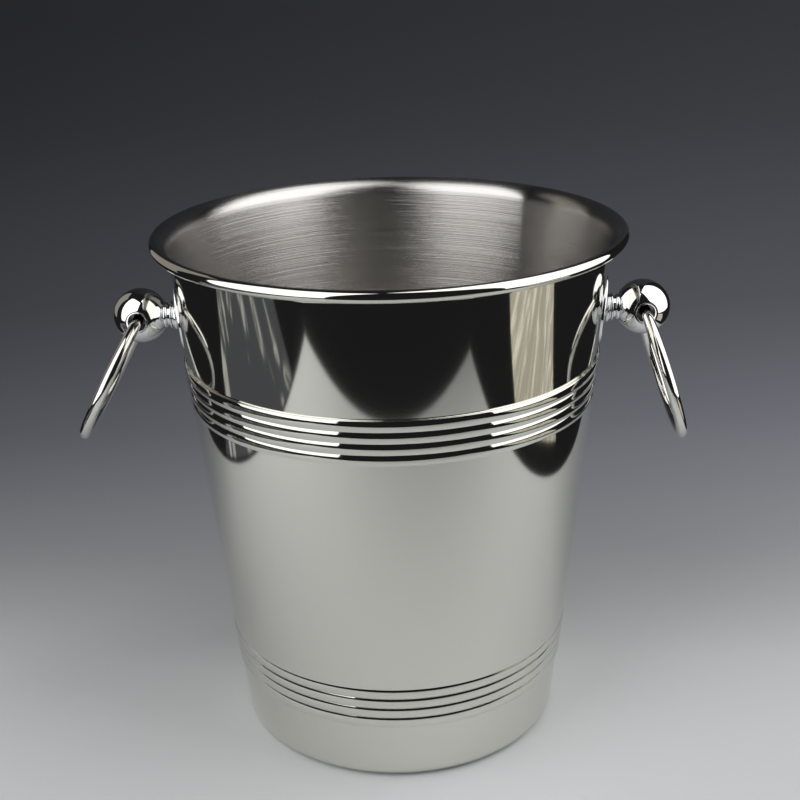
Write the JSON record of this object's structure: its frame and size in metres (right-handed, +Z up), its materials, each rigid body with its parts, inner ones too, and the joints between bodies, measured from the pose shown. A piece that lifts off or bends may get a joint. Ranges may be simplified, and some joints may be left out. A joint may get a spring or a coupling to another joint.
{
  "type": "ice bucket",
  "caption": "Tapered mirror-polished steel ice bucket with a rolled rim, raised bead bands and swinging ring handles hung from ball knobs.",
  "frame": {"origin": "centre of the flat base, on the surface that the bucket stands on", "axes": "+Z up along the bucket's axis, +X through the right-hand knob, -Y towards the viewer of the front"},
  "size_m": [0.2881, 0.2164, 0.244],
  "materials": {
    "polished_steel": "mirror-polished stainless steel",
    "ring_steel": "polished steel wire",
    "knob_chrome": "bright chrome plate",
    "fixing_steel": "plain stainless fixing",
    "seal_rubber": "matte black"
  },
  "bodies": {
    "bucket": {"bucket_body": "polished_steel", "left_escutcheon": "knob_chrome", "left_neck_collar": "knob_chrome", "left_ball_knob": "knob_chrome", "left_screw": "fixing_steel", "left_washer": "fixing_steel", "left_seal": "seal_rubber", "right_escutcheon": "knob_chrome", "right_neck_collar": "knob_chrome", "right_ball_knob": "knob_chrome", "right_screw": "fixing_steel", "right_washer": "fixing_steel", "right_seal": "seal_rubber"},
    "left_handle": {"left_ring": "ring_steel"},
    "right_handle": {"right_ring": "ring_steel"}
  },
  "joints": [
    {"name": "left_ring_swing", "type": "hinge", "parent": "bucket", "child": "left_handle", "pos_m": [-0.11646, 0, 0.2032], "axis": [0, 1, 0], "range_deg": [-47.6, 165.4]},
    {"name": "right_ring_swing", "type": "hinge", "parent": "bucket", "child": "right_handle", "pos_m": [0.11646, 0, 0.2032], "axis": [0, -1, 0], "range_deg": [-37, 176]}
  ]
}
